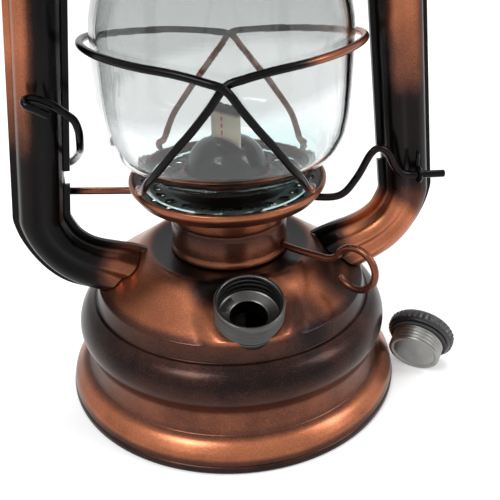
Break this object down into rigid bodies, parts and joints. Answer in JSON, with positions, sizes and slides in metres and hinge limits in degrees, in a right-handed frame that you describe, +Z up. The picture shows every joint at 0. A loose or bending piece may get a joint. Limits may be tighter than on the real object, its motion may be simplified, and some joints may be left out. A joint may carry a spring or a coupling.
{
  "type": "hurricane lantern",
  "caption": "Small hurricane lantern in antique copper: pressed tank, side tubes, lifting glass globe with crossed guard wires, flat wick burner, wire bail and loose filler cap.",
  "frame": {"origin": "centre of the tank's foot, on the surface that the lantern stands on", "axes": "+Z up along the axis of tank, burner and globe; the side tubes lie along X; the filler neck faces -Y"},
  "size_m": [0.1412, 0.11, 0.2382],
  "materials": {
    "copper": "antique copper metallic lacquer shaded with black, semi-gloss",
    "dark_copper": "near-black antique copper lacquer, glossy",
    "zinc": "dull zinc plating",
    "steel": "plain drawn steel",
    "black_enamel": "glossy black enamel",
    "black_plastic": "satin black",
    "rubber": "matt black",
    "cotton": "woven ecru cotton with a red tracer",
    "glass": "clear blown glass"
  },
  "bodies": {
    "lantern": {"tank_bottom": "dark_copper", "tank_body": "copper", "filler_neck": "zinc", "tube_left_front": "copper", "tube_left_back": "copper", "tube_right_front": "copper", "tube_right_back": "copper", "burner_collar": "copper", "burner_body": "steel", "wick_tube": "steel", "burner_cone": "black_enamel", "lever_eye": "dark_copper", "lever_clip": "dark_copper", "air_chamber": "copper", "bail_ear_left": "dark_copper", "bail_ear_right": "dark_copper"},
    "lever": {"lift_lever": "dark_copper"},
    "globe_carrier": {"globe_plate": "copper", "globe": "glass", "guard_wire_a": "dark_copper", "guard_wire_b": "dark_copper"},
    "hood": {"hood_crown": "copper", "chimney": "dark_copper", "chimney_cap": "copper", "lift_ring": "dark_copper", "hood_spring": "steel"},
    "wick_knob": {"wick_shaft": "copper", "wick_wheel_inner": "steel", "wick_wheel_outer": "steel"},
    "wick_strip": {"wick": "cotton"},
    "bail_handle": {"bail": "dark_copper"},
    "filler_cap": {"cap_head": "black_plastic", "cap_plug": "zinc", "cap_gasket": "rubber"}
  },
  "joints": [
    {"name": "lever_press", "type": "hinge", "parent": "lantern", "child": "lever", "pos_m": [-0.057, 0.01045, 0.0669], "axis": [0.9831, -0.1784, 0.0418], "range_deg": [0, 25]},
    {"name": "globe_lift", "type": "slide", "parent": "lantern", "child": "globe_carrier", "axis": [0, 0, 1], "range_m": [0, 0.0095]},
    {"name": "hood_lift", "type": "slide", "parent": "globe_carrier", "child": "hood", "axis": [0, 0, 1], "range_m": [0, 0.01], "stiffness_N_per_m": 60, "springref_m": -0.01, "deforming": ["hood_spring"]},
    {"name": "wick_turn", "type": "hinge", "parent": "lantern", "child": "wick_knob", "pos_m": [0.00342, 0.00308, 0.052], "axis": [0.6691, -0.7431, 0], "range_deg": [-60, 150]},
    {"name": "wick_raise", "type": "slide", "parent": "lantern", "child": "wick_strip", "axis": [0, 0, 1], "range_m": [-0.0091, 0.0036]},
    {"name": "bail_swing", "type": "hinge", "parent": "lantern", "child": "bail_handle", "pos_m": [0, 0, 0.19], "axis": [1, 0, 0], "range_deg": [0, 292]},
    {"name": "cap_lift", "type": "slide", "parent": "lantern", "child": "filler_cap", "axis": [0.6951, -0.1301, 0.7071], "range_m": [0, 0.05]}
  ],
  "couplings": [
    {"joint": "lever_press", "follows": "globe_lift", "rad_per_m": 45.455},
    {"joint": "wick_turn", "follows": "wick_raise", "rad_per_m": -285.71}
  ]
}
